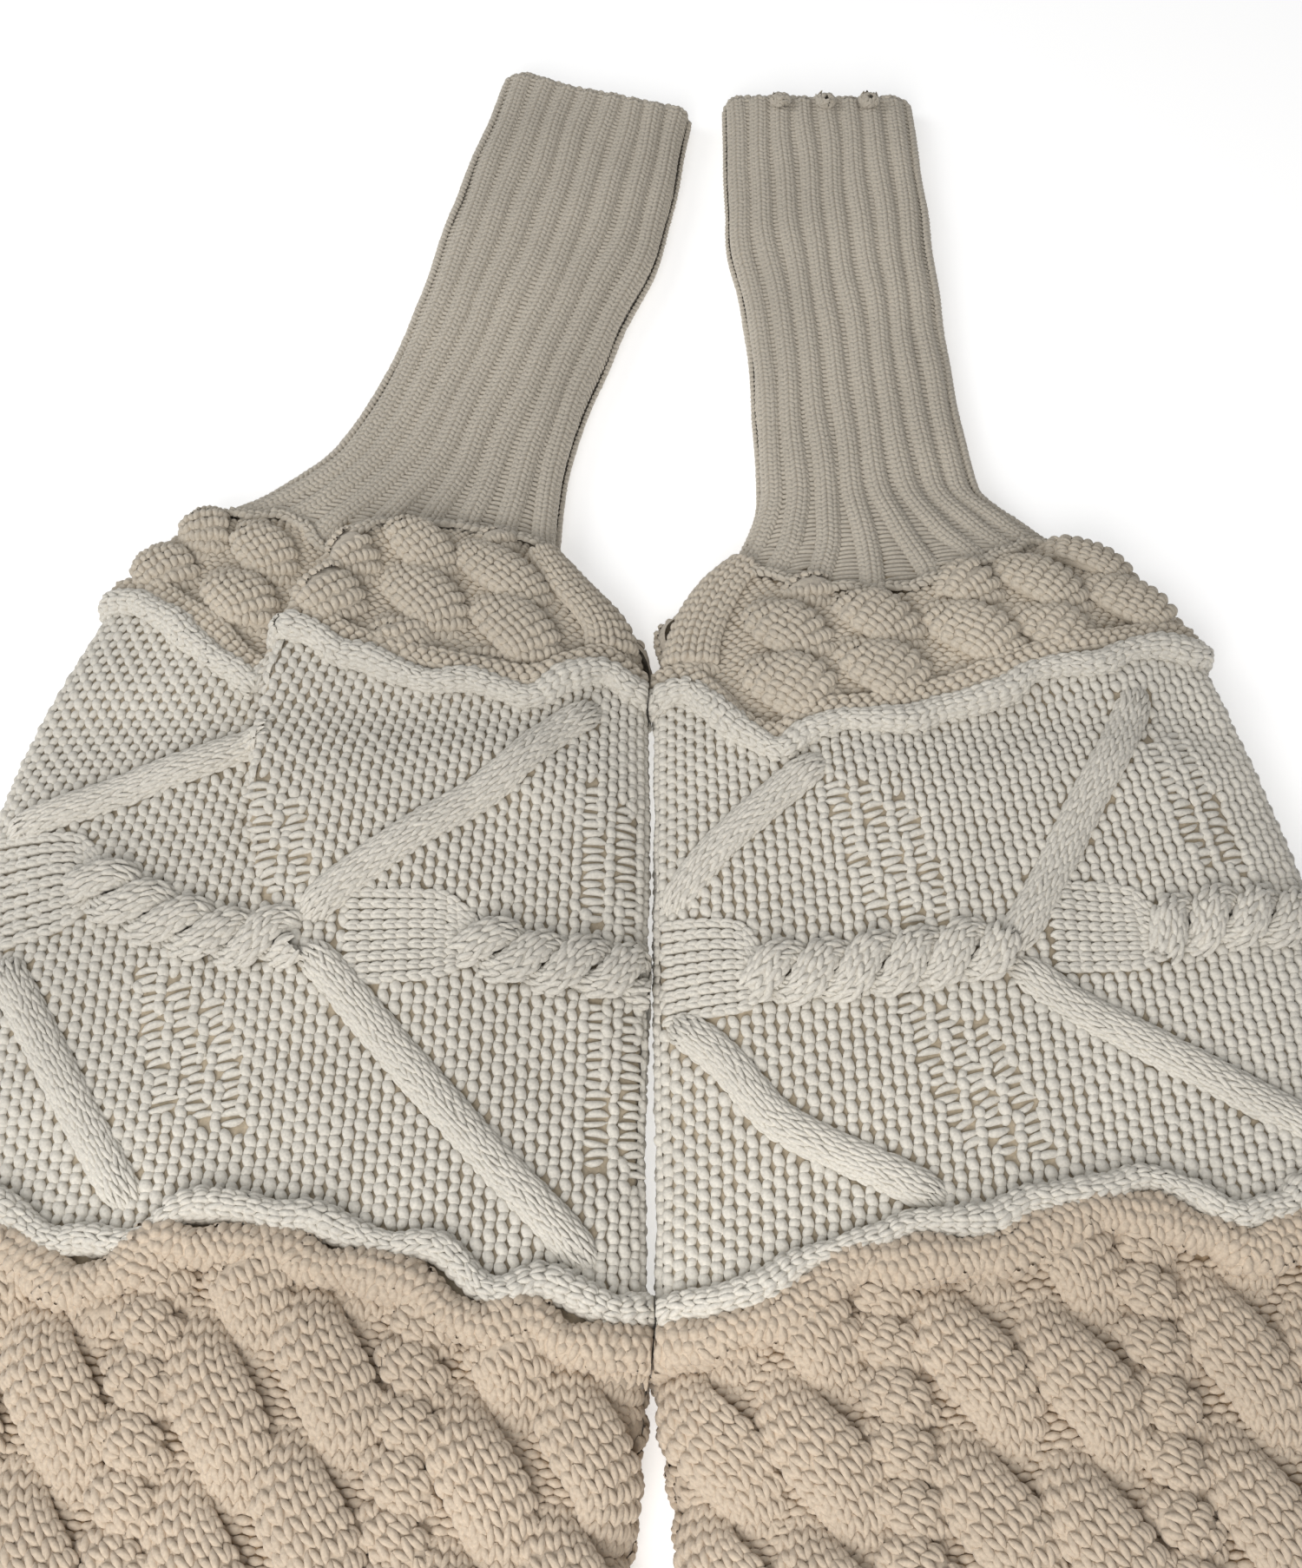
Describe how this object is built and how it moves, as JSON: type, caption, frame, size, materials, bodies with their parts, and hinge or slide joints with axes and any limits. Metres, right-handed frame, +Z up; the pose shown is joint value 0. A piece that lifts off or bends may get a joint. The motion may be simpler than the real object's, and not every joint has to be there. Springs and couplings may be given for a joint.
{
  "type": "pair of knitted balloon sleeves",
  "caption": "Pair of cable-knit balloon sleeves with long ribbed cuffs, laid flat side by side, built of ribbed, cabled and rolled-edge knitted panels.",
  "frame": {"origin": "on the surface the sleeves lie on, under the middle of the pair's outline", "axes": "+Y from the armhole ends towards the cuffs, +X to the right sleeve as seen from above with the cuffs away, +Z up"},
  "size_m": [0.4972, 0.7203, 0.037],
  "materials": {
    "rib_beige": "fine ribbed wool knit, matt, slightly fuzzy",
    "band_beige": "worsted cable knit, matt",
    "cream_wool": "cream wool knit, fuzzy",
    "chunky_beige": "heavy smooth cotton-wool cable knit",
    "seam_yarn": "matt sewing yarn"
  },
  "bodies": {
    "root": {"left_cuff_rib": "rib_beige", "left_cuff_edge": "rib_beige", "left_linking_chain": "rib_beige", "left_upper_cable_band": "band_beige", "left_band_edge": "band_beige", "left_upper_roll": "cream_wool", "left_aran_panel": "cream_wool", "left_lower_roll": "cream_wool", "left_crochet_edge": "chunky_beige", "left_lower_cable_panel": "chunky_beige", "left_armhole_edge": "chunky_beige", "left_underarm_seam": "seam_yarn", "right_cuff_rib": "rib_beige", "right_cuff_edge": "rib_beige", "right_linking_chain": "rib_beige", "right_upper_cable_band": "band_beige", "right_band_edge": "band_beige", "right_upper_roll": "cream_wool", "right_aran_panel": "cream_wool", "right_lower_roll": "cream_wool", "right_crochet_edge": "chunky_beige", "right_lower_cable_panel": "chunky_beige", "right_armhole_edge": "chunky_beige", "right_underarm_seam": "seam_yarn", "right_cuff_knots": "rib_beige"}
  },
  "joints": []
}
